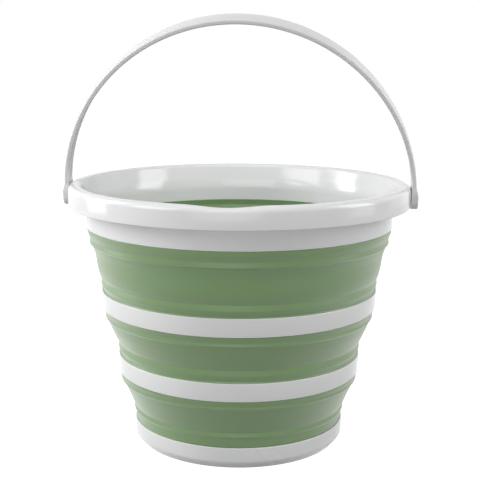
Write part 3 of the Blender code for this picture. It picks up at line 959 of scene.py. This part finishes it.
def rib_tree():
    """Sets cross ribs at even steps along the strap's hollow, wider where the strap is wider."""
    tree = bpy.data.node_groups.new("cross_ribs", "GeometryNodeTree")
    add = tree.interface.new_socket
    add("Rib", in_out="INPUT", socket_type="NodeSocketGeometry")
    add("Count", in_out="INPUT", socket_type="NodeSocketInt")
    for label in ("Across", "Rise", "Span", "End Width", "Grip Extra"):
        add(label, in_out="INPUT", socket_type="NodeSocketFloat")
    add("Finish", in_out="INPUT", socket_type="NodeSocketMaterial")
    add("Ribs", in_out="OUTPUT", socket_type="NodeSocketGeometry")
    link = tree.links.new
    given = tree.nodes.new("NodeGroupInput")
    index = tree.nodes.new("GeometryNodeInputIndex").outputs[0]
    share = sum_of(tree, "DIVIDE", index, sum_of(tree, "SUBTRACT", given.outputs["Count"], 1))
    share = sum_of(tree, "SUBTRACT", share, 0.5)
    angle = sum_of(tree, "MULTIPLY", sum_of(tree, "MULTIPLY", share, given.outputs["Span"]), math.pi)
    sine = sum_of(tree, "SINE", angle, 0)
    cosine = sum_of(tree, "COSINE", angle, 0)
    place = tree.nodes.new("ShaderNodeCombineXYZ")
    link(sum_of(tree, "MULTIPLY", given.outputs["Across"], sine), place.inputs["X"])
    link(sum_of(tree, "MULTIPLY", given.outputs["Rise"], cosine), place.inputs["Z"])
    points = tree.nodes.new("GeometryNodePoints")
    link(given.outputs["Count"], points.inputs["Count"])
    link(place.outputs[0], points.inputs["Position"])
    lean = sum_of(
        tree, "ARCTAN2", sum_of(tree, "MULTIPLY", given.outputs["Rise"], sine),
        sum_of(tree, "MULTIPLY", given.outputs["Across"], cosine),
    )
    turn = tree.nodes.new("ShaderNodeCombineXYZ")
    link(lean, turn.inputs["Y"])
    rotation = tree.nodes.new("FunctionNodeEulerToRotation")
    link(turn.outputs[0], rotation.inputs[0])
    wide = sum_of(
        tree, "ADD", given.outputs["End Width"],
        sum_of(tree, "MULTIPLY", sum_of(tree, "MULTIPLY", given.outputs["Grip Extra"], 2), cosine),
    )
    scale = tree.nodes.new("ShaderNodeCombineXYZ")
    scale.inputs["X"].default_value = 1
    scale.inputs["Z"].default_value = 1
    link(wide, scale.inputs["Y"])
    copies = tree.nodes.new("GeometryNodeInstanceOnPoints")
    link(points.outputs[0], copies.inputs["Points"])
    link(given.outputs["Rib"], copies.inputs["Instance"])
    link(rotation.outputs[0], copies.inputs["Rotation"])
    link(scale.outputs[0], copies.inputs["Scale"])
    finish_tree(tree, copies.outputs[0], given.outputs["Finish"])
    return tree


rib_low = -STRAP_THICKNESS + CROSS_RIB_SET_IN
rib_top = -STRAP_THICKNESS + CHANNEL_DEPTH + CROSS_RIB_SINK
rib_points = [
    (x * CROSS_RIB_THICKNESS / 2, y / 2, z) for z in (rib_low, rib_top) for y in (-1, 1) for x in (-1, 1)
]
rib_faces = [(0, 1, 3, 2), (4, 6, 7, 5), (0, 4, 5, 1), (2, 3, 7, 6), (0, 2, 6, 4), (1, 5, 7, 3)]
ribs = from_tree(
    "bail_ribs", rib_tree(), rib_points, [], rib_faces,
    Count=CROSS_RIB_COUNT, Across=bail_across, Rise=bail_rise, Span=RIBBED_SHARE,
    End_Width=STRAP_END_WIDTH - CHANNEL_WALL * CROSS_RIB_WALL_SHARE, Grip_Extra=grip_extra,
    Finish=HANDLE_WHITE,
)
finish_bail(ribs)


def eased(share):
    """A share of a way, limited to 0 to 1, that starts and ends gently."""
    share = min(max(share, 0), 1)
    return share * share * (3 - 2 * share)


def pad_outline():
    """The pad seen from outside: a half round foot, upright sides and shoulders drawn in to the strap."""
    half_turn = [-math.pi * i / TAB_FOOT_FACETS for i in range(TAB_FOOT_FACETS + 1)]
    foot = [(TAB_RADIUS * math.cos(angle), TAB_RADIUS * math.sin(angle)) for angle in half_turn]
    side = []
    for i in range(1, TAB_CUTS + 1):
        share = i / TAB_CUTS
        narrow = TAB_RADIUS - (TAB_RADIUS - STRAP_END_WIDTH / 2 + TAB_TOP_SET_IN) * eased(share)
        side.append((narrow, TAB_SHOULDER + (TAB_LENGTH - TAB_SHOULDER) * share))
    return [*reversed(side), (TAB_RADIUS, TAB_SHOULDER), *foot, (-TAB_RADIUS, TAB_SHOULDER)] + [
        (-y, z) for y, z in side
    ]


def pad(name, side):
    """Pad at the strap's end, whose outer face sinks into the strap above it."""
    work = bmesh.new()
    outline = pad_outline()
    near = [work.verts.new((side * tab_inner, y, z)) for y, z in outline]
    far = [work.verts.new((side * tab_outer, y, z)) for y, z in outline]
    work.faces.new(near)
    outer_face = work.faces.new(far)
    for i in range(len(outline)):
        work.faces.new((near[i - 1], near[i], far[i], far[i - 1]))
    bmesh.ops.recalc_face_normals(work, faces=work.faces)
    bmesh.ops.bevel(
        work, geom=list(outer_face.edges), offset=TAB_EDGE_ROUND, segments=TAB_EDGE_SEGMENTS, profile=0.5,
        affect="EDGES", clamp_overlap=True,
    )
    for i in range(TAB_CUTS):
        height = TAB_SHOULDER + (TAB_LENGTH - TAB_SHOULDER) * (i + 0.5) / TAB_CUTS
        every = work.verts[:] + work.edges[:] + work.faces[:]
        bmesh.ops.bisect_plane(work, geom=every, plane_co=(0, 0, height), plane_no=(0, 0, 1))
    for point in work.verts:
        depth = (abs(point.co.x) - tab_inner) / TAB_THICKNESS
        sink = TAB_SINK * eased((point.co.z - TAB_SHOULDER) / (TAB_LENGTH - TAB_SHOULDER))
        bend = bail_across * (1 - math.sqrt(1 - (max(point.co.z, 0) / bail_rise) ** 2))
        point.co.x -= side * depth * (sink + bend)
    mesh = bpy.data.meshes.new(name)
    work.to_mesh(mesh)
    work.free()
    mesh.shade_smooth()
    mesh.set_sharp_from_angle(angle=SHARP_ANGLE)
    mesh.materials.append(HANDLE_WHITE)
    piece = bpy.data.objects.new(name, mesh)
    scene.collection.objects.link(piece)
    return piece


def peg(name, side):
    """The peg is turned about the pivot line: a shank through the flange and a barbed head behind it."""
    face = flange_radius - FLANGE_WALL - PEG_HEAD_GAP
    head = PEG_RADIUS + PEG_BARB
    outline = rounded([
        (0, tab_inner + PEG_ROOT, 0),
        (PEG_RADIUS, tab_inner + PEG_ROOT, 0),
        (PEG_RADIUS, face, 0),
        (head, face, PEG_BARB_ROUND),
        (PEG_RADIUS * PEG_TIP_SHARE, face - PEG_HEAD_LENGTH, PEG_TIP_ROUND),
        (0, face - PEG_HEAD_LENGTH, 0),
    ], closed=False)
    piece = turned(name, outline, HANDLE_WHITE, closed=False)
    for point in piece.data.vertices:
        x, y, z = point.co
        point.co = (side * z, side * y, x)
    outward(piece.data)
    return piece


for side, label in ((1, "right"), (-1, "left")):
    finish_bail(pad("bail_pad_" + label, side))
    finish_bail(peg("bail_peg_" + label, side))
